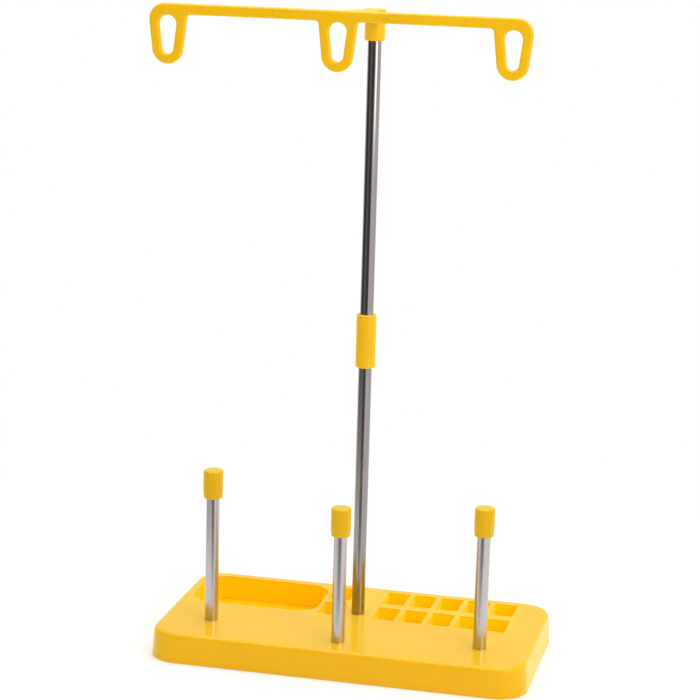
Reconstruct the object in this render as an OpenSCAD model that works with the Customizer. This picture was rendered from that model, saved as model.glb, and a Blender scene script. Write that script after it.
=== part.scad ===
// Free-standing rack for three spools of thread, with a bobbin base and an overhead thread guide.
// Millimetres. +X is the rack's right, +Y its back and +Z up.
// The origin lies on the table, under the middle of the base.

/* [Base moulding] */
// Length of the base at its foot
base_w = 228.5; // [222:0.5:260]
// Depth of the base at its foot
base_d = 122.5; // [118:0.5:150]
// Height of the base
base_h = 18; // [16:0.5:30]
// Plan radius of the base's corners
base_corner_r = 18; // [10:0.5:25]
// How far each side leans in between the foot and the top
base_lean = 1.25; // [0.5:0.05:2]
// Radius of the rounded edge round the top
base_edge_r = 3; // [1:0.1:3.4]
// Thickness of the outer wall
base_wall_t = 2.2; // [1.6:0.1:3]
// Thickness of the top plate
base_top_t = 2.4; // [1.6:0.1:3]
// Thickness of the stiffening ribs under the top
rib_t = 1.6; // [1:0.1:2.4]
// How far the ribs stop short of the table
rib_lift = 2.5; // [0.5:0.1:5]

/* [Tray and bobbin pockets] */
// Length of the tray
tray_w = 80.4; // [40:0.1:84]
// Depth of the tray from front to back
tray_d = 50.5; // [30:0.1:53]
// Plan radius of the tray's corners
tray_corner_r = 14; // [4:0.5:16]
// Level rim left between the base's left edge and the tray
tray_rim = 6.3; // [2.6:0.1:8]
// Level rim left behind the tray, in front of the base's rounded edge
tray_back_rim = 4.8; // [2:0.1:8]
// Length of a bobbin pocket across the rack
pocket_w = 13.84; // [12:0.01:15]
// Depth of a bobbin pocket from front to back
pocket_d = 21.7; // [18:0.1:23]
// Thickness of the web between two columns of pockets
pocket_web = 3.23; // [2:0.01:4]
// Width of the bar between the two rows of pockets
pocket_bar = 7.5; // [4:0.01:8]
// Rim left behind the pockets
pocket_rim = 7.6; // [4:0.1:10]
// Number of pocket columns to the right of the mast
right_columns = 5; // [1:1:5]
// Thickness of the tray and pocket floors
floor_t = 1.8; // [1.2:0.1:3]
// Height of the tray and pocket floors above the table
floor_z = 3; // [2:0.1:5]
// Thickness of the tray and pocket walls below the top
cell_t = 1.7; // [1.65:0.05:2]

/* [Steel tubes] */
// Outer diameter of the mast and pin tubes
tube_d = 8; // [6:0.1:9]
// Wall of the tubes
tube_wall = 0.8; // [0.5:0.1:1.5]
// Length of a spool pin's tube
pin_len = 94.7; // [60:0.1:140]
// Length of the lower mast tube
lower_mast_len = 185.7; // [120:0.1:260]
// Length of the upper mast tube
upper_mast_len = 192.7; // [120:0.1:260]
// Distance of the side pins from the ends of the base
side_pin_inset = 31.75; // [20:0.25:55]
// Distance of the side pins from the front of the base
side_pin_front = 32.5; // [14:0.25:44]
// Distance of the middle pin from the front of the base
middle_pin_front = 18; // [12:0.25:36]
// Distance of the mast behind the middle
mast_y = 9.1; // [5:0.1:12]
// Depth of the sockets in the base
socket_depth = 15; // [12:0.5:15]
// Wall of the socket bosses under a pin
boss_wall = 2.8; // [2:0.1:4]
// Outer diameter of the boss under the mast
mast_boss_d = 18; // [17:0.5:20]
// Radial clearance of a tube that is pushed home and stays
seat_gap = 0.03; // [0.01:0.01:0.08]
// Radial clearance of a tube that slides or turns
run_gap = 0.06; // [0.02:0.01:0.1]

/* [Pin caps and how far each is pushed home] */
// Outer diameter of a cap
cap_d = 12; // [10.5:0.1:13]
// Diameter of a cap at its open end
cap_mouth_d = 11.3; // [10.2:0.1:12]
// Length of a cap
cap_len = 17; // [14:0.5:30]
// Thickness of a cap's closed end
cap_top_t = 3; // [1.5:0.1:5]
// Length of a cap's slightly narrowing skirt
cap_skirt = 5; // [2:0.5:8]
// Radius of a cap's rounded top edge
cap_edge_r = 1.3; // [0.5:0.1:2]
// How far the left pin stands up from the floor of its socket
left_pin_up = 5.7; // [0:0.1:9]
// How far the left cap stands up from its pin's end
left_cap_up = 5.7; // [0:0.1:9]
// How far the right pin stands up from the floor of its socket
right_pin_up = 3.7; // [0:0.1:9]

/* [Mast sleeve] */
// Outer diameter of the sleeve that joins the mast tubes
sleeve_d = 12; // [10.5:0.1:14]
// Length of the sleeve
sleeve_len = 32.4; // [20:0.1:60]
// Thickness of the stop web in the middle of the sleeve
sleeve_web = 2; // [1:0.1:4]
// Radius of the sleeve's rounded ends
sleeve_edge_r = 0.9; // [0.3:0.1:1.2]

/* [Thread guide] */
// Outer diameter of the hub on top of the mast
hub_d = 12.1; // [10.5:0.1:14]
// Length of the hub
hub_len = 18.3; // [12:0.1:30]
// Thickness of the hub's closed top
hub_top_t = 3; // [1.5:0.1:5]
// Radius of the hub's rounded edges
hub_edge_r = 0.8; // [0.3:0.1:1.2]
// Distance of the guide bar in front of the mast
guide_reach = 91.6; // [70:0.1:130]
// How far the bar stands higher than the hub
guide_rise = 4.6; // [0:0.1:8]
// Width of the neck between the hub and the bar
neck_w = 6; // [5:0.1:9]
// Height of the neck
neck_h = 6; // [5:0.1:7]
// How far the neck's top lies below the tops of the hub and the bar
neck_drop = 0.15; // [0.1:0.01:0.18]
// Radius of the gussets where the neck meets the bar
neck_fillet_r = 7; // [3:0.5:12]
// Height of the bar
bar_h = 6; // [5:0.1:8]
// Thickness of the bar and the eyes from front to back
bar_t = 4.5; // [3.6:0.1:6]
// Radius of the bar's and the eyes' rounded edges
bar_edge_r = 1.5; // [0.6:0.1:1.7]
// Distance of the outer eyes from the middle one
eye_pitch = 96; // [60:0.1:130]
// Width of the hole of an eye near its top
eye_top_w = 10; // [8:0.1:12]
// Width of the hole of an eye near its foot
eye_foot_w = 6.9; // [4:0.1:7.5]
// Height of the hole of an eye
eye_hole_h = 21.5; // [16:0.1:32]
// Thickness of plastic round the hole of an eye
eye_stroke = 5.3; // [4:0.1:5.4]
// Thickness of plastic above the hole of an eye
eye_crown = 6.4; // [6:0.1:8]
// Outer radius of the bar's two ends
bar_end_r = 9; // [8.6:0.1:9.4]
// Radius of the fillets where an eye meets the bar
eye_fillet_r = 2; // [0.5:0.1:3]
// Distance of the raised pads on the bar from its middle
pad_x = 31.5; // [28:0.1:40]
// Length of a raised pad
pad_w = 8; // [4:0.1:12]
// Height of a raised pad
pad_h = 2.8; // [1:0.1:3]
// How far a pad stands out of the bar's face
pad_t = 0.4; // [0.2:0.1:1]

/* [Hidden] */
$fn = 64;
// How far a cut runs past the face that it opens, and how far one solid bites into the next
over = 1;
bite = 0.01;
// Facets round the ball that rounds the guide's edges; its flats lie on the guide's true faces
ball_fn = 12;

plastic = [0.98, 0.76, 0.12];
steel = [0.62, 0.62, 0.65];

tube_r = tube_d / 2;
socket_z = base_h - socket_depth;
pin_boss_d = tube_d + 2 * boss_wall;
top_half_w = base_w / 2 - base_lean;
top_half_d = base_d / 2 - base_lean;

// Tray and pocket places on the base
tray_x = -top_half_w + tray_rim;
tray_back = top_half_d - base_edge_r - tray_back_rim;
pocket_pitch = pocket_w + pocket_web;
pocket_back = top_half_d - pocket_rim;
// The columns keep one pitch, and the mast stands where the column in the middle would be
first_right_x = pocket_pitch - pocket_w / 2;
left_column_x = -pocket_pitch - pocket_w / 2;
column_x = concat([left_column_x],
                  [for (i = [0 : right_columns - 1]) first_right_x + i * pocket_pitch]);
row_y = [pocket_back - pocket_d, pocket_back - 2 * pocket_d - pocket_bar];

// Where the tubes stand, and how high
mast_at = [0, mast_y];
side_pin_x = base_w / 2 - side_pin_inset;
side_pin_y = side_pin_front - base_d / 2;
left_at = [-side_pin_x, side_pin_y];
middle_at = [0, middle_pin_front - base_d / 2];
right_at = [side_pin_x, side_pin_y];
cap_bore = cap_len - cap_top_t;
sleeve_seat = (sleeve_len - sleeve_web) / 2;
sleeve_z = socket_z + lower_mast_len - sleeve_seat;
upper_mast_z = sleeve_z + sleeve_seat + sleeve_web;
hub_bore = hub_len - hub_top_t;
hub_z = upper_mast_z + upper_mast_len - hub_bore;
hub_top = hub_z + hub_len;

// The guide bar and its eyes, seen from the front
bar_y = mast_y - guide_reach;
bar_top = hub_top + guide_rise;
bar_z = bar_top - bar_h / 2;
eye_top_r = eye_top_w / 2;
eye_foot_r = eye_foot_w / 2;
eye_top_z = bar_top - eye_crown - eye_top_r;
eye_foot_z = bar_top - eye_crown - eye_hole_h + eye_foot_r;
eye_lean = asin((eye_top_r - eye_foot_r) / (eye_top_z - eye_foot_z));

// Half of a section that leans in, from its middle line out to half, with a rounded or sharp top edge
module half_section(half, height, lean, edge, below = 0) {
    slope = atan(lean / height);
    cx = half - lean * (height - edge) / height - edge / cos(slope);
    polygon([[0, -below],
             [half + lean * below / height, -below],
             [cx + edge * cos(slope), height - edge + edge * sin(slope)],
             [cx, height],
             [0, height]]);
    if (edge > 0)
        translate([cx, height - edge])
            circle(r = edge);
}

// Whole section, for the straight runs
module full_section(half, height, lean, edge, below = 0) {
    half_section(half, height, lean, edge, below);
    mirror([1, 0])
        half_section(half, height, lean, edge, below);
}

// Slab with round corners, leaning sides and a rounded top edge
module slab(w, d, height, corner, lean, edge, below = 0) {
    rotate([90, 0, 90])
        linear_extrude(w - 2 * corner, center = true)
            full_section(d / 2, height, lean, edge, below);
    rotate([90, 0, 0])
        linear_extrude(d - 2 * corner, center = true)
            full_section(w / 2, height, lean, edge, below);
    for (quarter = [0 : 3])
        translate([(quarter == 0 || quarter == 3 ? 1 : -1) * (w / 2 - corner),
                   (quarter < 2 ? 1 : -1) * (d / 2 - corner), 0])
            rotate(90 * quarter)
                rotate_extrude(angle = 90)
                    intersection() {
                        half_section(corner, height, lean, edge, below);
                        translate([0, -below - over])
                            square([2 * corner, height + below + 2 * over]);
                    }
}

// Upright block with round corners, between two heights
module round_block(x, y, w, d, r, z0, z1) {
    translate([0, 0, z0])
        linear_extrude(z1 - z0) {
            translate([x + r, y])
                square([w - 2 * r, d]);
            translate([x, y + r])
                square([w, d - 2 * r]);
            for (cx = [x + r, x + w - r], cy = [y + r, y + d - r])
                translate([cx, cy])
                    circle(r = r);
        }
}

// Tube along +Z
module tube(length) {
    difference() {
        cylinder(h = length, d = tube_d);
        translate([0, 0, -over])
            cylinder(h = length + 2 * over, d = tube_d - 2 * tube_wall);
    }
}

module at_pin(place, z = 0) {
    translate([place[0], place[1], z])
        children();
}

module pocket_cells(grow, z0, z1) {
    for (x = column_x, y = row_y)
        translate([x - grow, y - grow, z0])
            cube([pocket_w + 2 * grow, pocket_d + 2 * grow, z1 - z0]);
}

module tray_cell(grow, z0, z1) {
    round_block(tray_x - grow, tray_back - tray_d - grow, tray_w + 2 * grow, tray_d + 2 * grow,
                tray_corner_r + grow, z0, z1);
}

// Ribs, bosses and cell walls that hang under the top plate
module underside() {
    under_top = base_h - base_top_t + bite;
    cell_foot = floor_z - floor_t;
    tray_cell(cell_t, cell_foot, under_top);
    pocket_cells(cell_t, cell_foot, under_top);
    for (place = [left_at, middle_at, right_at])
        at_pin(place)
            cylinder(h = under_top, d = pin_boss_d);
    at_pin(mast_at)
        cylinder(h = under_top, d = mast_boss_d);
    // One long rib stands on the table under the middle, and the others stop short of it
    translate([-base_w / 2 + base_wall_t, -rib_t / 2, 0])
        cube([base_w - 2 * base_wall_t, rib_t, under_top]);
    for (place = [left_at, middle_at, right_at])
        translate([place[0] - rib_t / 2, -base_d / 2 + base_wall_t, rib_lift])
            cube([rib_t, base_d / 2 - base_wall_t, under_top - rib_lift]);
}

module base() {
    color(plastic)
        difference() {
            union() {
                difference() {
                    slab(base_w, base_d, base_h, base_corner_r, base_lean, base_edge_r);
                    slab(base_w - 2 * base_wall_t, base_d - 2 * base_wall_t, base_h - base_top_t,
                         base_corner_r - base_wall_t, base_lean, 0, over);
                }
                intersection() {
                    underside();
                    // The ribs run into the outer wall as far as its middle
                    slab(base_w - base_wall_t, base_d - base_wall_t, base_h - base_top_t / 2,
                         base_corner_r - base_wall_t / 2, base_lean, 0);
                }
            }
            tray_cell(0, floor_z, base_h + over);
            pocket_cells(0, floor_z, base_h + over);
            for (place = [left_at, middle_at, right_at])
                at_pin(place, socket_z)
                    cylinder(h = socket_depth + over, r = tube_r + run_gap);
            at_pin(mast_at, socket_z)
                cylinder(h = socket_depth + over, r = tube_r + seat_gap);
        }
}

// A pin's tube, standing up from the floor of its socket by up
module pin_tube(place, up) {
    color(steel)
        at_pin(place, socket_z + up)
            tube(pin_len);
}

// A blind cap, drawn from its open end at z = 0
module cap() {
    difference() {
        rotate_extrude() {
            polygon([[0, 0],
                     [cap_mouth_d / 2, 0],
                     [cap_d / 2, cap_skirt],
                     [cap_d / 2, cap_len - cap_edge_r],
                     [cap_d / 2 - cap_edge_r, cap_len],
                     [0, cap_len]]);
            translate([cap_d / 2 - cap_edge_r, cap_len - cap_edge_r])
                intersection() {
                    circle(r = cap_edge_r);
                    square(cap_edge_r + over);
                }
        }
        translate([0, 0, -over])
            cylinder(h = cap_bore + over, r = tube_r + seat_gap);
    }
}

module pin_cap(place, pin_up, cap_up) {
    color(plastic)
        at_pin(place, socket_z + pin_up + pin_len + cap_up - cap_bore)
            cap();
}

module lower_mast_tube() {
    color(steel)
        at_pin(mast_at, socket_z)
            tube(lower_mast_len);
}

module upper_mast_tube() {
    color(steel)
        at_pin(mast_at, upper_mast_z)
            tube(upper_mast_len);
}

// Sleeve with a seat for a tube at each end and a pierced stop web between them
module mast_sleeve() {
    body_r = sleeve_d / 2;
    color(plastic)
        at_pin(mast_at, sleeve_z)
            difference() {
                rotate_extrude() {
                    translate([0, sleeve_edge_r])
                        square([body_r, sleeve_len - 2 * sleeve_edge_r]);
                    square([body_r - sleeve_edge_r, sleeve_len]);
                    for (z = [sleeve_edge_r, sleeve_len - sleeve_edge_r])
                        translate([body_r - sleeve_edge_r, z])
                            circle(r = sleeve_edge_r);
                }
                translate([0, 0, -over])
                    cylinder(h = sleeve_seat + over, r = tube_r + seat_gap);
                translate([0, 0, sleeve_seat + sleeve_web])
                    cylinder(h = sleeve_seat + over, r = tube_r + run_gap);
                cylinder(h = sleeve_len, r = tube_r - tube_wall);
            }
}

// Round-edged section, for the neck
module round_section(w, t) {
    square([w - 2 * bar_edge_r, t], center = true);
    square([w, t - 2 * bar_edge_r], center = true);
    for (x = [-1, 1], y = [-1, 1])
        translate([x * (w / 2 - bar_edge_r), y * (t / 2 - bar_edge_r)])
            circle(r = bar_edge_r);
}

// Turns a shape drawn with x across and y up into the upright plane of the bar
module upright() {
    rotate([90, 0, 0])
        children();
}

// Two circles of different size, joined by their outer tangents
module tapered_slot(r_foot, z_foot, r_top, z_top) {
    lean = asin((r_top - r_foot) / (z_top - z_foot));
    across = cos(lean);
    drop = sin(lean);
    translate([0, z_foot])
        circle(r = r_foot);
    translate([0, z_top])
        circle(r = r_top);
    polygon([[r_foot * across, z_foot - r_foot * drop],
             [r_top * across, z_top - r_top * drop],
             [-r_top * across, z_top - r_top * drop],
             [-r_foot * across, z_foot - r_foot * drop]]);
}

// Outline of an eye's body; its sides keep leaning outwards up to the bar
module eye_outline() {
    foot_r = eye_foot_r + eye_stroke;
    up = bar_z - eye_foot_z;
    tapered_slot(foot_r, eye_foot_z, foot_r + up * sin(eye_lean), bar_z);
}

// Front view of the bar and its eyes, with fillets where they meet
module guide_outline() {
    half_w = eye_pitch + eye_foot_r + eye_stroke + (bar_top - bar_end_r - eye_foot_z) * tan(eye_lean);
    difference() {
        offset(r = -eye_fillet_r)
            offset(delta = eye_fillet_r)
                intersection() {
                    union() {
                        translate([-half_w, bar_top - bar_h])
                            square([2 * half_w, bar_h]);
                        for (x = [-eye_pitch, 0, eye_pitch])
                            translate([x, 0])
                                eye_outline();
                    }
                    // The bar's top corners are round, and nothing stands above the bar
                    union() {
                        for (side = [-1, 1])
                            translate([side * (half_w - bar_end_r), bar_top - bar_end_r])
                                circle(r = bar_end_r);
                        translate([-half_w + bar_end_r, bar_top - 2 * bar_end_r])
                            square([2 * (half_w - bar_end_r), 2 * bar_end_r]);
                        translate([-half_w, 0])
                            square([2 * half_w, bar_top - bar_end_r]);
                    }
                }
        for (x = [-eye_pitch, 0, eye_pitch])
            translate([x, 0])
                tapered_slot(eye_foot_r, eye_foot_z, eye_top_r, eye_top_z);
    }
}

// The bar with its three hanging eyes; a small ball rolled round the thin plate rounds every edge
module bar_and_eyes() {
    minkowski() {
        upright()
            linear_extrude(bar_t - 2 * bar_edge_r, center = true)
                offset(delta = -bar_edge_r)
                    guide_outline($fn = 28);
        sphere(r = bar_edge_r / cos(180 / ball_fn), $fn = ball_fn);
    }
    for (side = [-1, 1])
        translate([side * pad_x, -bar_t / 2, bar_z])
            cube([pad_w, 2 * pad_t, pad_h], center = true);
}

module hub() {
    body_r = hub_d / 2;
    rotate_extrude() {
        translate([0, hub_edge_r])
            square([body_r, hub_len - 2 * hub_edge_r]);
        square([body_r - hub_edge_r, hub_len]);
        for (z = [hub_edge_r, hub_len - hub_edge_r])
            translate([body_r - hub_edge_r, z])
                circle(r = hub_edge_r);
    }
}

// The neck climbs from the hub to the bar
module neck() {
    climb = atan(guide_rise / guide_reach);
    run = guide_reach / cos(climb);
    translate([0, mast_y, hub_top - neck_drop])
        rotate([90 - climb, 0, 0])
            translate([0, -neck_h / 2, 0])
                linear_extrude(run)
                    round_section(neck_w, neck_h);
}

// Gussets in plan where the neck runs into the back of the bar
module neck_gussets() {
    back = bar_y + bar_t / 2;
    thick = bar_h - 2 * bar_edge_r;
    for (side = [-1, 1])
        translate([0, 0, bar_z - thick / 2])
            linear_extrude(thick)
                difference() {
                    translate([side > 0 ? 0 : -neck_w / 2 - neck_fillet_r, back - over])
                        square([neck_w / 2 + neck_fillet_r, neck_fillet_r + over]);
                    translate([side * (neck_w / 2 + neck_fillet_r), back + neck_fillet_r])
                        circle(r = neck_fillet_r);
                }
}

module thread_guide() {
    color(plastic)
        difference() {
            union() {
                at_pin(mast_at, hub_z)
                    hub();
                neck();
                neck_gussets();
                translate([0, bar_y, 0])
                    bar_and_eyes();
            }
            at_pin(mast_at, hub_z - over)
                cylinder(h = hub_bore + over, r = tube_r + run_gap);
        }
}

module left_pin_tube() { pin_tube(left_at, left_pin_up); }

module left_pin_cap() { pin_cap(left_at, left_pin_up, left_cap_up); }

module middle_pin_tube() { pin_tube(middle_at, 0); }

module middle_pin_cap() { pin_cap(middle_at, 0, 0); }

module right_pin_tube() { pin_tube(right_at, right_pin_up); }

module right_pin_cap() { pin_cap(right_at, right_pin_up, 0); }

base();
lower_mast_tube();
mast_sleeve();
upper_mast_tube();
thread_guide();
left_pin_tube();
left_pin_cap();
middle_pin_tube();
middle_pin_cap();
right_pin_tube();
right_pin_cap();
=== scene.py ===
import math

import bpy
from bpy.props import FloatProperty, FloatVectorProperty, PointerProperty
from mathutils import Matrix, Vector

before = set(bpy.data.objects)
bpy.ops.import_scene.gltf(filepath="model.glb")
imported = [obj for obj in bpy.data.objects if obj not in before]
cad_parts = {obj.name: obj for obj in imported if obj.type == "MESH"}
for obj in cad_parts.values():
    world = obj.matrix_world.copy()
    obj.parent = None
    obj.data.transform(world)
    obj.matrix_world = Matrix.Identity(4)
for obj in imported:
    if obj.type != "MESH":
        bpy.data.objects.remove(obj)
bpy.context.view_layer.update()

bl_info = {
    "name": "Thread rack",
    "version": (1, 0, 0),
    "blender": (4, 5, 0),
    "location": "3D View > Sidebar > Thread rack",
    "description": "Finishes of a thread rack's moulded and steel pieces, and its studio",
    "category": "Object",
}

# Lengths are in metres, in the frame of the CAD solids: origin on the table under the middle of
# the base, X to the right, Y to the back, Z up.

# Upright boxes, lowest and highest corner, that hold the walls and floors of the tray and of the
# bobbin pockets, and the depth in which their painted light comes in: a lighter colour and a glow
# that brighten these hollows.
TRAY_BOX = ((-0.109, -0.001, 0.0025), (-0.0255, 0.0545, 0.0182))
POCKET_BOX = ((-0.0252, -0.001, 0.0025), (0.0955, 0.0545, 0.0182))
CAVITY_FADE = 0.0012

# Shared effects: scales are in waves or specks per metre, and an edge is the pair of values
# between which a mask comes in.
CLOUD_EDGE = (0.35, 0.7)
SPECK_SCALE = 620.0
SPECK_EDGE = (0.05, 0.16)
PATCH_SCALE = 70.0
PATCH_EDGE = (0.5, 0.72)
SCUFF_SCALE = 60.0
SCUFF_STRETCH = (1.0, 26.0, 1.0)
SCUFF_EDGE = (0.62, 0.68)
STREAK_STRETCH = (0.22, 0.22, 0.3)
STREAK_EDGE = (0.35, 0.65)

# Plastic: refraction, scales of the pigment clouds and of the mould's grain, how the pigment
# deepens, and dust.
PLASTIC_IOR = 1.49
PIGMENT = {"Scale": 45.0, "Amount": 0.35}
DEEPER_PLASTIC = (0.97, 0.90, 1.0)
MOULD_GRAIN = {"Grain_scale": 1800.0, "Grain": 0.1}
DUST_COLOUR = (0.86, 0.78, 0.6)
PLASTIC_WEAR = 0.3              # roughness that full dust or a full scuff adds

# Steel: how the metal darkens in clouds and pales in streaks, and its drawn lines.
STEEL_CLOUDS = {"Scale": 60.0, "Amount": 0.6}
DEEPER_STEEL = (0.90, 0.87, 0.86)
PALER_STEEL = 1.12
DRAWN_LINES = {"Across": 2600.0, "Along": 14.0}
STEEL_MARKS = {"Dust": 0.3, "Scuffs": 0.2}
STREAK_WEAR = 0.12              # share of the streaks in the wear
STEEL_WEAR = 0.35

# Points closer than this are one in the guide's smooth shading.
GUIDE_WELD = 0.000002

# Floor: it lies a little under the base, so that the two never share a plane. Close to the rack
# it shows the shadow, and further out it fades to plain white.
TABLE_DROP = 0.0003
FLOOR_HALF = 8.0
FLOOR_TONE = 0.86               # what it throws back on the rack
SHADED_TONE = 0.62              # what is seen of it near the rack, where shadows fall
SHADED_GLOW = 0.37
FADE_RADII = (0.18, 0.45)

# Camera: sensor width in mm, and the distances between which it sees.
SENSOR = 36.0
CLIP = (0.05, 50.0)

# Lamps: place, target, width and height.
KEY_LAMP = ((0.90, -0.63, 0.66), (0.0, 0.0, 0.2), 0.6, 0.9)
TOP_LAMP = ((0.15, 0.25, 1.6), (0.0, 0.0, 0.0), 1.2, 1.2)

# Cloths and cards stand round the mast. Angles are in degrees, from the camera's side of the
# mast to the right. A profile is made of distances from the mast and heights, and a stop is a
# distance from the mast and the tone there.
MAST = Vector((0.0, 0.0091, 0.0))
SWEEP_STEPS = 12
CLOTH_LIFT = 0.001
CLOTH_REACH = 2.2
CLOTH_HEIGHT = 1.8
CLOTHS = (
    ("cloth_left", (-118, -64), ((0.28, 0.85), (0.49, 0.44), (0.70, 0.24), (1.10, 0.09))),
    ("cloth_between", (-64, -32), ((0.28, 0.85), (0.49, 0.48), (0.70, 0.30), (1.10, 0.24))),
    ("cloth_front", (-32, 14), ((0.13, 0.9), (0.20, 0.55), (0.29, 0.16), (0.36, 0.26),
                                (0.50, 0.17), (1.10, 0.10))),
)
TOP_CARD = ((-180, 180), ((0.02, 1.2), (0.75, 1.2)))
KEY_CARD = ((27, 57), ((1.1, 0.18), (1.1, 1.1)))

WHITE = (1.0, 1.0, 1.0, 1.0)
FAR_COLOUR = (1.0, 0.99, 0.97, 1.0)


# Settings

class RackPlastic(bpy.types.PropertyGroup):
    """Look of the yellow moulded pieces."""
    base_colour: FloatVectorProperty(
        name="Base colour", description="Colour of the moulded base",
        subtype="COLOR", size=3, min=0.0, max=1.0, default=(0.94, 0.50, 0.003))
    guide_colour: FloatVectorProperty(
        name="Guide colour", description="Colour of the thread guide",
        subtype="COLOR", size=3, min=0.0, max=1.0, default=(1.0, 0.56, 0.003))
    sleeve_colour: FloatVectorProperty(
        name="Sleeve colour", description="Colour of the mast's sleeve",
        subtype="COLOR", size=3, min=0.0, max=1.0, default=(0.93, 0.53, 0.003))
    cap_colour: FloatVectorProperty(
        name="Cap colour", description="Colour of the spool pins' caps",
        subtype="COLOR", size=3, min=0.0, max=1.0, default=(0.81, 0.45, 0.003))
    # The tray and pocket colours are lighter and more lemon than the base's: painted light that
    # makes up for the shade in these hollows.
    tray_colour_with_painted_light: FloatVectorProperty(
        name="Tray colour", description="Colour of the wall and floor of the tray",
        subtype="COLOR", size=3, min=0.0, max=1.0, default=(1.0, 0.57, 0.0))
    pocket_colour_with_painted_light: FloatVectorProperty(
        name="Pocket colour", description="Colour of the walls and floors of the pockets",
        subtype="COLOR", size=3, min=0.0, max=1.0, default=(1.0, 0.67, 0.0))
    # Painted light: the tray and the pockets give off this colour as emission of their own.
    cavity_painted_glow: FloatVectorProperty(
        name="Cavity glow",
        description="Light that comes through the thin walls of the tray and the pockets",
        subtype="COLOR", size=3, min=0.0, max=1.0, default=(0.16, 0.085, 0.0))
    sheen_tint: FloatVectorProperty(
        name="Sheen tint", description="Colour of the soft sheen on faces seen at a shallow angle",
        subtype="COLOR", size=3, min=0.0, max=1.0, default=(0.96, 1.0, 0.08))
    sheen: FloatProperty(
        name="Sheen", description="Strength of the soft sheen on the base and the guide",
        subtype="FACTOR", min=0.0, max=1.0, default=0.6)
    cap_sheen: FloatProperty(
        name="Cap sheen", description="Strength of the soft sheen on the caps and the sleeve",
        subtype="FACTOR", min=0.0, max=1.0, default=0.9)
    sheen_roughness: FloatProperty(
        name="Sheen roughness", description="How far the sheen spreads from the shallow angles",
        subtype="FACTOR", min=0.0, max=1.0, default=0.45)
    specular: FloatProperty(
        name="Specular", description="Strength of the plastic's reflections",
        subtype="FACTOR", min=0.0, max=1.0, default=0.2)
    glow_colour: FloatVectorProperty(
        name="Glow colour", description="Colour that light takes inside the plastic",
        subtype="COLOR", size=3, min=0.0, max=1.0, default=(1.0, 0.42, 0.06))
    glow: FloatProperty(
        name="Glow", description="Share of the light that spreads inside the plastic",
        subtype="FACTOR", min=0.0, max=1.0, default=0.12)
    glow_depth: FloatProperty(
        name="Glow depth", description="How far light spreads inside the plastic",
        unit="LENGTH", min=0.0, max=0.02, default=0.0022)
    roughness: FloatProperty(
        name="Roughness", description="Roughness of the base's polished mould faces",
        subtype="FACTOR", min=0.0, max=1.0, default=0.16)
    small_roughness: FloatProperty(
        name="Small pieces' roughness", description="Roughness of the guide, caps and sleeve",
        subtype="FACTOR", min=0.0, max=1.0, default=0.24)
    ripple: FloatProperty(
        name="Ripple", description="Height of the faint waves that the mould leaves",
        unit="LENGTH", min=0.0, max=0.001, default=0.00006)


class RackSteel(bpy.types.PropertyGroup):
    """Look of the steel tubes."""
    mast_colour: FloatVectorProperty(
        name="Mast colour", description="Colour of the two mast tubes",
        subtype="COLOR", size=3, min=0.0, max=1.0, default=(0.33, 0.30, 0.295))
    pin_colour: FloatVectorProperty(
        name="Pin colour", description="Colour of the spool pins",
        subtype="COLOR", size=3, min=0.0, max=1.0, default=(0.53, 0.485, 0.475))
    mast_roughness: FloatProperty(
        name="Mast roughness", description="Roughness of the polished mast tubes",
        subtype="FACTOR", min=0.0, max=1.0, default=0.11)
    pin_roughness: FloatProperty(
        name="Pin roughness", description="Roughness of the spool pins",
        subtype="FACTOR", min=0.0, max=1.0, default=0.2)
    line_depth: FloatProperty(
        name="Line depth", description="Depth of the fine lines left by drawing the tube",
        unit="LENGTH", min=0.0, max=0.0005, default=0.000012)


class RackStudio(bpy.types.PropertyGroup):
    """Camera, lamps and surroundings."""
    lens: FloatProperty(
        name="Lens", description="Focal length of the camera on a sensor 36 mm wide",
        subtype="DISTANCE_CAMERA", min=20.0, max=300.0, default=113.12)
    camera_at: FloatVectorProperty(
        name="Camera place", description="Where the camera stands",
        subtype="TRANSLATION", unit="LENGTH", size=3, default=(0.28019, -1.24458, 0.47288))
    yaw: FloatProperty(
        name="Yaw", description="How far the camera is turned to the left",
        unit="ROTATION", default=math.radians(13.016))
    pitch: FloatProperty(
        name="Pitch", description="How far the camera looks down",
        unit="ROTATION", default=math.radians(12.691))
    roll: FloatProperty(
        name="Roll", description="How far the camera leans",
        unit="ROTATION", default=math.radians(1.599))
    sky: FloatProperty(
        name="Sky", description="Strength of the soft light from all round",
        min=0.0, max=3.0, default=0.70)
    far_tone: FloatProperty(
        name="Far tone", description="How bright the surroundings stand in reflections",
        subtype="FACTOR", min=0.0, max=1.0, default=0.92)
    key_power: FloatProperty(
        name="Key power", description="Power of the soft lamp at the right",
        unit="POWER", min=0.0, max=200.0, default=3.3)
    card: FloatProperty(
        name="Card", description="How bright the card at the right stands in the glossy faces",
        min=0.0, max=20.0, default=3.6)
    top_card: FloatProperty(
        name="Top card", description="How bright the card overhead stands in the rounded edges",
        min=0.0, max=20.0, default=5.0)
    top_power: FloatProperty(
        name="Top power", description="Power of the broad lamp overhead",
        unit="POWER", min=0.0, max=200.0, default=11.4)


# Shader helpers. Each takes the node tree first, and the node's place in the editor as at.

def node(tree, kind, at, **settings):
    """Adds a node and sets its own properties, such as operation."""
    made = tree.nodes.new(kind)
    made.location = at
    for key, value in settings.items():
        setattr(made, key, value)
    return made


def put(made, **values):
    """Sets inputs of a node by their names, with _ for a space."""
    for key, value in values.items():
        made.inputs[key.replace("_", " ")].default_value = value
    return made


def feed(tree, source, socket):
    """Links a socket to an input, or writes a value into it."""
    if isinstance(source, bpy.types.NodeSocket):
        tree.links.new(source, socket)
    else:
        socket.default_value = source


def maths(tree, operation, a, b, at):
    """A Math node; a and b are numbers or sockets."""
    made = node(tree, "ShaderNodeMath", at, operation=operation)
    feed(tree, a, made.inputs[0])
    feed(tree, b, made.inputs[1])
    return made.outputs[0]


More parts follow.
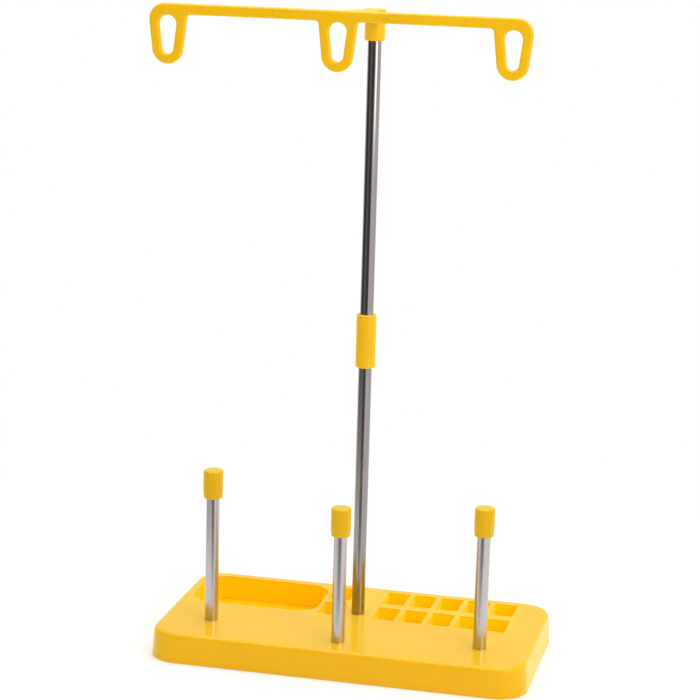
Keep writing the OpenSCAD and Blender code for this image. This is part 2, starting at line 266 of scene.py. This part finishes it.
def mixed(tree, factor, a, b, at):
    """A Mix node for colours; a and b are sockets or colours without alpha."""
    made = node(tree, "ShaderNodeMix", at, data_type="RGBA")
    feed(tree, factor, made.inputs[0])
    # The sockets 6 and 7, and the output 2, are the node's colours.
    for slot, colour in ((6, a), (7, b)):
        linked = isinstance(colour, bpy.types.NodeSocket)
        feed(tree, colour if linked else (*colour[:3], 1.0), made.inputs[slot])
    return made.outputs[2]


def ranged(tree, value, span, result, at):
    """Maps the span of a value to a result, which are pairs, and holds it at their ends."""
    made = node(tree, "ShaderNodeMapRange", at)
    for slot, source in enumerate((value, *span, *result)):
        feed(tree, source, made.inputs[slot])
    return made.outputs[0]


def noise(tree, vector, at, detail=2.0, roughness=0.5, distortion=0.0):
    """A Noise Texture at scale 1, whose size comes from the vector."""
    made = node(tree, "ShaderNodeTexNoise", at)
    put(made, Scale=1.0, Detail=detail, Roughness=roughness, Distortion=distortion)
    tree.links.new(vector, made.inputs["Vector"])
    return made.outputs["Fac"]


def scaled_position(tree, scale, at, stretch=(1.0, 1.0, 1.0)):
    """Object coordinates times a scale, which may be a socket, and a stretch on each axis."""
    where = node(tree, "ShaderNodeTexCoord", at)
    stretched = node(tree, "ShaderNodeVectorMath", (at[0] + 180, at[1]), operation="MULTIPLY")
    stretched.inputs[1].default_value = stretch
    tree.links.new(where.outputs["Object"], stretched.inputs[0])
    sized = node(tree, "ShaderNodeVectorMath", (at[0] + 360, at[1]), operation="SCALE")
    tree.links.new(stretched.outputs[0], sized.inputs[0])
    feed(tree, scale, sized.inputs["Scale"])
    return sized.outputs[0]


def deeper(colour, shares):
    """A colour with each channel times its share, and alpha."""
    return (*(channel * share for channel, share in zip(colour, shares)), 1.0)


def new_group(name, inputs, outputs):
    """A shader node group; inputs are (socket type, name, default), outputs (type, name)."""
    group = bpy.data.node_groups.new(name, "ShaderNodeTree")
    for kind, label, default in inputs:
        socket = group.interface.new_socket(name=label, in_out="INPUT", socket_type=kind)
        socket.default_value = default
    for kind, label in outputs:
        group.interface.new_socket(name=label, in_out="OUTPUT", socket_type=kind)
    inp = node(group, "NodeGroupInput", (-900, 0))
    out = node(group, "NodeGroupOutput", (700, 0))
    return group, inp, out


# Shared effects

def cloudy_group():
    """Colour that drifts a little over the surface, as pigment does in moulded plastic."""
    group, inp, out = new_group(
        "pigment_clouds",
        [("NodeSocketColor", "Colour", WHITE), ("NodeSocketColor", "Deep colour", WHITE),
         ("NodeSocketFloat", "Scale", 40.0), ("NodeSocketFloat", "Amount", 0.3)],
        [("NodeSocketColor", "Colour")])
    where = scaled_position(group, inp.outputs["Scale"], (-700, 0))
    clouds = noise(group, where, (-100, 0), detail=3.0)
    share = ranged(group, clouds, CLOUD_EDGE, (0.0, inp.outputs["Amount"]), (100, 0))
    colour = mixed(group, share, inp.outputs["Colour"], inp.outputs["Deep colour"], (300, 0))
    group.links.new(colour, out.inputs["Colour"])
    return group


def ripple_group():
    """Height of faint waves and a fine grain, as a polished mould leaves them."""
    group, inp, out = new_group(
        "mould_ripple",
        [("NodeSocketFloat", "Wave scale", 120.0), ("NodeSocketFloat", "Grain scale", 1800.0),
         ("NodeSocketFloat", "Grain", 0.12)],
        [("NodeSocketFloat", "Height")])
    wide = scaled_position(group, inp.outputs["Wave scale"], (-700, 200))
    waves = noise(group, wide, (-100, 200), detail=1.0)
    fine = scaled_position(group, inp.outputs["Grain scale"], (-700, -200))
    grain = noise(group, fine, (-100, -200))
    small = maths(group, "MULTIPLY", grain, inp.outputs["Grain"], (100, -200))
    group.links.new(maths(group, "ADD", waves, small, (300, 0)), out.inputs["Height"])
    return group


def handling_group():
    """Masks of settled dust and of hair-thin scuffs."""
    group, inp, out = new_group(
        "handling_marks",
        [("NodeSocketFloat", "Dust", 0.3), ("NodeSocketFloat", "Scuffs", 0.3)],
        [("NodeSocketFloat", "Dust"), ("NodeSocketFloat", "Scuffs")])
    specks = node(group, "ShaderNodeTexVoronoi", (-100, 300), feature="F1")
    put(specks, Scale=1.0, Randomness=1.0)
    close = scaled_position(group, SPECK_SCALE, (-700, 300))
    group.links.new(close, specks.inputs["Vector"])
    near = ranged(group, specks.outputs["Distance"], SPECK_EDGE, (1.0, 0.0), (100, 300))
    wide = scaled_position(group, PATCH_SCALE, (-700, 60))
    patches = noise(group, wide, (-100, 60), detail=4.0)
    patchy = ranged(group, patches, PATCH_EDGE, (0.0, 1.0), (100, 60))
    dust = maths(group, "MULTIPLY", near, patchy, (300, 300))
    dusty = maths(group, "MULTIPLY", dust, inp.outputs["Dust"], (500, 300))
    group.links.new(dusty, out.inputs["Dust"])
    long_way = scaled_position(group, SCUFF_SCALE, (-700, -240), SCUFF_STRETCH)
    lines = noise(group, long_way, (-100, -240), detail=5.0, roughness=0.7, distortion=0.6)
    thin = ranged(group, lines, SCUFF_EDGE, (0.0, 1.0), (100, -240))
    scuffed = maths(group, "MULTIPLY", thin, inp.outputs["Scuffs"], (500, -240))
    group.links.new(scuffed, out.inputs["Scuffs"])
    return group


def drawn_group():
    """Fine lengthwise lines of a drawn tube: their height, and a mask of paler streaks."""
    group, inp, out = new_group(
        "drawn_lines",
        [("NodeSocketFloat", "Across", 2600.0), ("NodeSocketFloat", "Along", 14.0)],
        [("NodeSocketFloat", "Height"), ("NodeSocketFloat", "Streaks")])
    where = node(group, "ShaderNodeTexCoord", (-700, 0))
    join = node(group, "ShaderNodeCombineXYZ", (-500, -200))
    for axis, source in (("X", "Across"), ("Y", "Across"), ("Z", "Along")):
        group.links.new(inp.outputs[source], join.inputs[axis])
    stretched = node(group, "ShaderNodeVectorMath", (-300, 0), operation="MULTIPLY")
    group.links.new(where.outputs["Object"], stretched.inputs[0])
    group.links.new(join.outputs[0], stretched.inputs[1])
    fine = noise(group, stretched.outputs[0], (-100, 120), detail=3.0, roughness=0.6)
    group.links.new(fine, out.inputs["Height"])
    wide = node(group, "ShaderNodeVectorMath", (-300, -300), operation="MULTIPLY")
    wide.inputs[1].default_value = STREAK_STRETCH
    group.links.new(stretched.outputs[0], wide.inputs[0])
    broad = noise(group, wide.outputs[0], (-100, -300), detail=2.0)
    streaks = ranged(group, broad, STREAK_EDGE, (0.0, 1.0), (100, -300))
    group.links.new(streaks, out.inputs["Streaks"])
    return group


def cavity_group():
    """Mask that is 1 inside an upright box of object space and fades out at the box's faces."""
    group, inp, out = new_group(
        "cavity_mask",
        [("NodeSocketVector", "Low", (0, 0, 0)), ("NodeSocketVector", "High", (1, 1, 1)),
         ("NodeSocketFloat", "Fade", 0.001)],
        [("NodeSocketFloat", "Inside")])
    where = node(group, "ShaderNodeTexCoord", (-900, -200))
    depths = []
    for row, (first, second) in enumerate(((where.outputs["Object"], inp.outputs["Low"]),
                                           (inp.outputs["High"], where.outputs["Object"]))):
        apart = node(group, "ShaderNodeVectorMath", (-700, -200 * row), operation="SUBTRACT")
        group.links.new(first, apart.inputs[0])
        group.links.new(second, apart.inputs[1])
        split = node(group, "ShaderNodeSeparateXYZ", (-500, -200 * row))
        group.links.new(apart.outputs[0], split.inputs[0])
        depths += [split.outputs[axis] for axis in "XYZ"]
    depth = depths[0]
    for other in depths[1:]:
        depth = maths(group, "MINIMUM", depth, other, (-200, 0))
    share = maths(group, "DIVIDE", depth, inp.outputs["Fade"], (100, 0))
    held = node(group, "ShaderNodeClamp", (300, 0))
    group.links.new(share, held.inputs[0])
    group.links.new(held.outputs[0], out.inputs["Inside"])
    return group


BUILDERS = {"clouds": cloudy_group, "ripple": ripple_group, "handling": handling_group,
            "drawn": drawn_group, "cavity": cavity_group}
BUILT = {}


def effect(tree, name, at, **values):
    """Places a shared effect in a material, with its own values; its group is built once."""
    if name not in BUILT:
        BUILT[name] = BUILDERS[name]()
    return put(node(tree, "ShaderNodeGroup", at, node_tree=BUILT[name]), **values)


# Finishes

def cleared(block):
    """The node tree of a new material or world, with nothing in it."""
    block.use_nodes = True
    block.node_tree.nodes.clear()
    return block.node_tree


def new_finish(name):
    """A material with a Principled BSDF and its output."""
    material = bpy.data.materials.new(name)
    tree = cleared(material)
    shader = node(tree, "ShaderNodeBsdfPrincipled", (600, 0))
    out = node(tree, "ShaderNodeOutputMaterial", (900, 0))
    tree.links.new(shader.outputs[0], out.inputs["Surface"])
    return material, tree, shader


def bumpy(tree, height, distance, shader, at):
    """Turns a height into the shader's normal."""
    bump = node(tree, "ShaderNodeBump", at)
    put(bump, Strength=1.0, Distance=distance)
    tree.links.new(height, bump.inputs["Height"])
    tree.links.new(bump.outputs["Normal"], shader.inputs["Normal"])


def plastic(name, look, body, roughness, sheen, waves, dust, scuffs, cavities=()):
    """Glossy moulded plastic, slightly translucent.

    body is its colour, waves the scale of its ripple, and cavities are boxes (lowest corner,
    highest corner, colour) inside which it has another colour and the cavity glow, painted light
    that brightens those hollows.
    """
    material, tree, shader = new_finish(name)
    put(shader, IOR=PLASTIC_IOR, Specular_IOR_Level=look.specular,
        Subsurface_Weight=look.glow, Subsurface_Scale=look.glow_depth,
        Subsurface_Radius=look.glow_colour, Sheen_Weight=sheen,
        Sheen_Roughness=look.sheen_roughness, Sheen_Tint=(*look.sheen_tint, 1.0))
    clouds = effect(tree, "clouds", (-700, 300), Colour=(*body, 1.0),
                    Deep_colour=deeper(body, DEEPER_PLASTIC), **PIGMENT)
    colour = clouds.outputs["Colour"]
    painted_glow = (0.0, 0.0, 0.0)
    # Painted light: inside each cavity box the colour turns lighter and a glow comes in.
    for place, (low, high, inside) in enumerate(cavities):
        box = effect(tree, "cavity", (-700, 600 + 300 * place), Low=low, High=high,
                     Fade=CAVITY_FADE)
        mask = box.outputs["Inside"]
        colour = mixed(tree, mask, colour, inside, (-450 + 180 * place, 300))
        painted_glow = mixed(tree, mask, painted_glow, look.cavity_painted_glow, (-450 + 180 * place, 600))
    # The painted glow goes in as emission of the plastic itself.
    if cavities:
        tree.links.new(painted_glow, shader.inputs["Emission Color"])
        put(shader, Emission_Strength=1.0)
    marks = effect(tree, "handling", (-700, -100), Dust=dust, Scuffs=scuffs)
    dusty = mixed(tree, marks.outputs["Dust"], colour, DUST_COLOUR, (50, 300))
    tree.links.new(dusty, shader.inputs["Base Color"])
    worn = maths(tree, "ADD", marks.outputs["Dust"], marks.outputs["Scuffs"], (-100, -50))
    rough = ranged(tree, worn, (0.0, 1.0), (roughness, roughness + PLASTIC_WEAR), (100, -50))
    tree.links.new(rough, shader.inputs["Roughness"])
    ripple = effect(tree, "ripple", (-400, -350), Wave_scale=waves, **MOULD_GRAIN)
    bumpy(tree, ripple.outputs["Height"], look.ripple, shader, (200, -350))
    return material


def steel(name, look, colour, roughness):
    """Polished drawn steel tube."""
    material, tree, shader = new_finish(name)
    put(shader, Metallic=1.0)
    lines = effect(tree, "drawn", (-500, -200), **DRAWN_LINES)
    clouds = effect(tree, "clouds", (-500, 300), Colour=(*colour, 1.0),
                    Deep_colour=deeper(colour, DEEPER_STEEL), **STEEL_CLOUDS)
    pale = tuple(min(1.0, PALER_STEEL * channel) for channel in colour)
    streaky = mixed(tree, lines.outputs["Streaks"], clouds.outputs["Colour"], pale, (0, 300))
    tree.links.new(streaky, shader.inputs["Base Color"])
    marks = effect(tree, "handling", (-500, 0), **STEEL_MARKS)
    worn = maths(tree, "ADD", marks.outputs["Dust"], marks.outputs["Scuffs"], (-250, 0))
    smeared = maths(tree, "MULTIPLY", lines.outputs["Streaks"], STREAK_WEAR, (-250, -100))
    total = maths(tree, "ADD", worn, smeared, (0, -50))
    rough = ranged(tree, total, (0.0, 1.0), (roughness, roughness + STEEL_WEAR), (250, -50))
    tree.links.new(rough, shader.inputs["Roughness"])
    bumpy(tree, lines.outputs["Height"], look.line_depth, shader, (250, -350))
    return material


def dress(name, material):
    """Gives a CAD node its finish."""
    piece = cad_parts[name]
    piece.data.materials.clear()
    piece.data.materials.append(material)
    return piece


# Operators for the pieces

class RACK_OT_base(bpy.types.Operator):
    """Finish the moulded base with its tray and bobbin pockets"""
    bl_idname = "rack.base"
    bl_label = "Base"

    def execute(self, context):
        look = context.scene.rack_plastic
        finish = plastic("base_plastic", look, look.base_colour, look.roughness, look.sheen,
                         waves=90.0, dust=0.3, scuffs=0.35,
                         # Inside the tray and the pockets the base takes lighter colours and a
                         # glow: painted light.
                         cavities=((*TRAY_BOX, look.tray_colour_with_painted_light),
                                   (*POCKET_BOX, look.pocket_colour_with_painted_light)))
        dress("base", finish)
        return {"FINISHED"}


class RACK_OT_tubes(bpy.types.Operator):
    """Finish the mast tubes and the spool pins"""
    bl_idname = "rack.tubes"
    bl_label = "Steel tubes"

    def execute(self, context):
        look = context.scene.rack_steel
        mast = steel("mast_steel", look, look.mast_colour, look.mast_roughness)
        pins = steel("pin_steel", look, look.pin_colour, look.pin_roughness)
        for name in ("lower_mast_tube", "upper_mast_tube"):
            dress(name, mast)
        for side in ("left", "middle", "right"):
            dress(f"{side}_pin_tube", pins)
        return {"FINISHED"}


class RACK_OT_caps(bpy.types.Operator):
    """Finish the three pin caps and the mast's sleeve"""
    bl_idname = "rack.caps"
    bl_label = "Caps and sleeve"

    def execute(self, context):
        look = context.scene.rack_plastic
        both = {"roughness": look.small_roughness, "sheen": look.cap_sheen,
                "waves": 260.0, "dust": 0.2, "scuffs": 0.2}
        caps = plastic("cap_plastic", look, look.cap_colour, **both)
        sleeve = plastic("sleeve_plastic", look, look.sleeve_colour, **both)
        for side in ("left", "middle", "right"):
            dress(f"{side}_pin_cap", caps)
        dress("mast_sleeve", sleeve)
        return {"FINISHED"}


class RACK_OT_guide(bpy.types.Operator):
    """Finish the thread guide with its hub, neck, bar and three eyes"""
    bl_idname = "rack.guide"
    bl_label = "Thread guide"

    def execute(self, context):
        look = context.scene.rack_plastic
        finish = plastic("guide_plastic", look, look.guide_colour, look.small_roughness,
                         look.sheen, waves=200.0, dust=0.2, scuffs=0.2)
        piece = dress("thread_guide", finish)
        # Its rounded edges are shaded smoothly, and doubled points count as one for that.
        if "custom_normal" in piece.data.attributes:
            piece.data.attributes.remove(piece.data.attributes["custom_normal"])
        piece.data.polygons.foreach_set("use_smooth", [True] * len(piece.data.polygons))
        weld = piece.modifiers.new("weld", "WELD")
        weld.merge_threshold = GUIDE_WELD
        normals = piece.modifiers.new("face_normals", "WEIGHTED_NORMAL")
        normals.keep_sharp = True
        return {"FINISHED"}


# The stage

def glossy_only(piece):
    """The piece is seen in reflections alone and throws no shade."""
    for flag in ("visible_camera", "visible_diffuse", "visible_transmission",
                 "visible_shadow", "visible_volume_scatter"):
        setattr(piece, flag, False)
    piece.visible_glossy = True


def stage_piece(name, points, faces, material):
    """A mesh that belongs to the studio and not to the rack."""
    mesh = bpy.data.meshes.new(name)
    mesh.from_pydata(points, [], faces)
    mesh.materials.append(material)
    piece = bpy.data.objects.new(name, mesh)
    bpy.context.scene.collection.objects.link(piece)
    return piece


def lamp(name, at, target, width, height, power):
    """A white area lamp that faces its target and isn't seen by the camera."""
    data = bpy.data.lights.new(name, "AREA")
    data.shape, data.size, data.size_y = "RECTANGLE", width, height
    data.energy = power
    made = bpy.data.objects.new(name, data)
    made.location = at
    made.rotation_euler = (Vector(target) - Vector(at)).to_track_quat("-Z", "Y").to_euler()
    made.visible_camera = False
    bpy.context.scene.collection.objects.link(made)
    return made


def emission(tree, strength, at):
    """White light of a strength, which may be a socket."""
    made = put(node(tree, "ShaderNodeEmission", at), Color=WHITE)
    feed(tree, strength, made.inputs["Strength"])
    return made.outputs[0]


def diffuse(tree, tone, at):
    """A matt grey."""
    return put(node(tree, "ShaderNodeBsdfDiffuse", at), Color=(tone, tone, tone, 1.0)).outputs[0]


def background(tree, colour, strength, at):
    """Light of the world."""
    made = node(tree, "ShaderNodeBackground", at)
    return put(made, Color=colour, Strength=strength).outputs[0]


def blended(tree, factor, first, second, at):
    """A Mix Shader node."""
    made = node(tree, "ShaderNodeMixShader", at)
    for slot, source in enumerate((factor, first, second)):
        tree.links.new(source, made.inputs[slot])
    return made.outputs[0]


def distance(tree, at, flat=False):
    """How far a point is from its object's origin, over the ground alone if flat."""
    where = node(tree, "ShaderNodeTexCoord", at).outputs["Object"]
    if flat:
        level = node(tree, "ShaderNodeVectorMath", (at[0] + 200, at[1]), operation="MULTIPLY")
        level.inputs[1].default_value = (1.0, 1.0, 0.0)
        tree.links.new(where, level.inputs[0])
        where = level.outputs[0]
    reach = node(tree, "ShaderNodeVectorMath", (at[0] + 400, at[1]), operation="LENGTH")
    tree.links.new(where, reach.inputs[0])
    return reach.outputs["Value"]


def floor_finish():
    """Matt and pale for the rack's light; where it is seen, white with the rack's shadow."""
    material = bpy.data.materials.new("pale_floor")
    tree = cleared(material)
    rays = node(tree, "ShaderNodeLightPath", (-600, 200)).outputs
    seen = maths(tree, "MAXIMUM", rays["Is Camera Ray"], rays["Is Glossy Ray"], (-400, 250))
    seen = maths(tree, "MAXIMUM", seen, rays["Is Transmission Ray"], (-200, 250))
    plain = diffuse(tree, FLOOR_TONE, (-200, 50))
    both = node(tree, "ShaderNodeAddShader", (0, -150))
    tree.links.new(diffuse(tree, SHADED_TONE, (-200, -100)), both.inputs[0])
    tree.links.new(emission(tree, SHADED_GLOW, (-200, -250)), both.inputs[1])
    far = ranged(tree, distance(tree, (-800, -500)), FADE_RADII, (0.0, 1.0), (-200, -550))
    around = blended(tree, far, both.outputs[0], emission(tree, 1.0, (-200, -400)), (100, -200))
    out = node(tree, "ShaderNodeOutputMaterial", (450, 0))
    tree.links.new(blended(tree, seen, plain, around, (250, 0)), out.inputs["Surface"])
    return material


def lay_floor():
    """The pale floor, well past what the camera sees."""
    half, level = FLOOR_HALF, -TABLE_DROP
    corners = [(-half, -half, level), (half, -half, level), (half, half, level),
               (-half, half, level)]
    stage_piece("floor", corners, [(0, 1, 2, 3)], floor_finish())


def glow_finish(name, stops):
    """A grey light that goes with the distance from the mast, from stop to stop."""
    material = bpy.data.materials.new(name)
    tree = cleared(material)
    reach = distance(tree, (-800, 0), flat=True)
    value = stops[0][1]
    for (near, first), (far, second) in zip(stops, stops[1:]):
        step = ranged(tree, reach, (near, far), (0.0, second - first), (-200, 0))
        value = maths(tree, "ADD", value, step, (-100, 0))
    out = node(tree, "ShaderNodeOutputMaterial", (200, 0))
    tree.links.new(emission(tree, value, (0, 0)), out.inputs["Surface"])
    return material


def screen(name, facing, angles, profile, stops):
    """A sheet swept round the mast between two angles, seen in the glossy faces alone."""
    low, high = angles
    points, faces = [], []
    count = len(profile)
    for step in range(SWEEP_STEPS + 1):
        turn = facing + math.radians(low + (high - low) * step / SWEEP_STEPS)
        points += [(reach * math.cos(turn), reach * math.sin(turn), height)
                   for reach, height in profile]
    for step in range(SWEEP_STEPS):
        for edge in range(count - 1):
            first = count * step + edge
            faces.append((first, first + 1, first + 1 + count, first + count))
    sheet = stage_piece(name, points, faces, glow_finish(name, stops))
    sheet.location = MAST
    glossy_only(sheet)


def hang_cloths(studio):
    """Dark cloths in front of the rack, which give the tubes their stripes, and two cards."""
    facing = studio.yaw - math.pi / 2
    for name, angles, stops in CLOTHS:
        profile = ((stops[0][0], CLOTH_LIFT), (CLOTH_REACH, CLOTH_LIFT),
                   (CLOTH_REACH, CLOTH_HEIGHT))
        screen(name, facing, angles, profile, stops)
    for name, card, tone in (("top_card", TOP_CARD, studio.top_card),
                             ("key_card", KEY_CARD, studio.card)):
        screen(name, facing, *card, ((0.0, tone),))


def surround(scene, studio):
    """White to the camera, nearly white in reflections, and a soft light on the rack."""
    scene.world = bpy.data.worlds.new("white_surroundings")
    tree = cleared(scene.world)
    rays = node(tree, "ShaderNodeLightPath", (-600, 200)).outputs
    mirror = maths(tree, "MAXIMUM", rays["Is Glossy Ray"], rays["Is Transmission Ray"],
                   (-400, 100))
    sky = background(tree, WHITE, studio.sky, (-200, 0))
    far = background(tree, FAR_COLOUR, studio.far_tone, (-200, -150))
    white = background(tree, WHITE, 1.0, (0, -250))
    around = blended(tree, mirror, sky, far, (0, 0))
    out = node(tree, "ShaderNodeOutputWorld", (400, 0))
    tree.links.new(blended(tree, rays["Is Camera Ray"], around, white, (200, 0)),
                   out.inputs["Surface"])


class RACK_OT_camera(bpy.types.Operator):
    """Place the camera in front of the rack, a little to its right"""
    bl_idname = "rack.camera"
    bl_label = "Camera"

    def execute(self, context):
        studio = context.scene.rack_studio
        yaw, pitch, roll = studio.yaw, studio.pitch, studio.roll
        side = Vector((math.cos(yaw), math.sin(yaw), 0.0))
        ahead = Vector((-math.sin(yaw) * math.cos(pitch), math.cos(yaw) * math.cos(pitch),
                        -math.sin(pitch)))
        up = side.cross(ahead)
        right = math.cos(roll) * side + math.sin(roll) * up
        top = -math.sin(roll) * side + math.cos(roll) * up
        data = bpy.data.cameras.new("camera")
        data.sensor_width, data.lens = SENSOR, studio.lens
        data.clip_start, data.clip_end = CLIP
        made = bpy.data.objects.new("camera", data)
        place = Matrix((right, top, -ahead)).transposed().to_4x4()
        place.translation = studio.camera_at
        made.matrix_world = place
        context.scene.collection.objects.link(made)
        context.scene.camera = made
        return {"FINISHED"}


class RACK_OT_studio(bpy.types.Operator):
    """Lay the pale floor, and set up the lamps, cloths, cards and white surroundings"""
    bl_idname = "rack.studio"
    bl_label = "Studio"

    def execute(self, context):
        scene, studio = context.scene, context.scene.rack_studio
        scene.view_settings.view_transform = "Standard"
        lay_floor()
        hang_cloths(studio)
        surround(scene, studio)
        key = lamp("key_lamp", *KEY_LAMP, studio.key_power)
        key.visible_glossy = False      # the card stands for it in reflections
        lamp("top_lamp", *TOP_LAMP, studio.top_power)
        return {"FINISHED"}


# Panel and registration

PANEL_ROWS = (
    ("rack_plastic", (RACK_OT_base, RACK_OT_caps, RACK_OT_guide)),
    ("rack_steel", (RACK_OT_tubes,)),
    ("rack_studio", (RACK_OT_camera, RACK_OT_studio)),
)
SETTINGS = (("rack_plastic", RackPlastic), ("rack_steel", RackSteel),
            ("rack_studio", RackStudio))
OPERATORS = tuple(operator for _, row in PANEL_ROWS for operator in row)


class RACK_PT_panel(bpy.types.Panel):
    """Lists the rack's settings and operators"""
    bl_idname = "RACK_PT_panel"
    bl_label = "Thread rack"
    bl_space_type = "VIEW_3D"
    bl_region_type = "UI"
    bl_category = "Thread rack"

    def draw(self, context):
        for settings, operators in PANEL_ROWS:
            box = self.layout.box()
            group = getattr(context.scene, settings)
            for field in group.bl_rna.properties.keys():
                if field not in ("rna_type", "name"):
                    box.prop(group, field)
            for operator in operators:
                box.operator(operator.bl_idname)


def register():
    for _, group in SETTINGS:
        bpy.utils.register_class(group)
    for operator in OPERATORS:
        bpy.utils.register_class(operator)
    bpy.utils.register_class(RACK_PT_panel)
    for name, group in SETTINGS:
        setattr(bpy.types.Scene, name, PointerProperty(type=group))


def unregister():
    for name, _ in SETTINGS:
        delattr(bpy.types.Scene, name)
    bpy.utils.unregister_class(RACK_PT_panel)
    for operator in reversed(OPERATORS):
        bpy.utils.unregister_class(operator)
    for _, group in reversed(SETTINGS):
        bpy.utils.unregister_class(group)


def main():
    register()
    bpy.ops.rack.camera()
    bpy.ops.rack.base()
    bpy.ops.rack.tubes()
    bpy.ops.rack.caps()
    bpy.ops.rack.guide()
    bpy.ops.rack.studio()


if __name__ == "__main__":
    main()
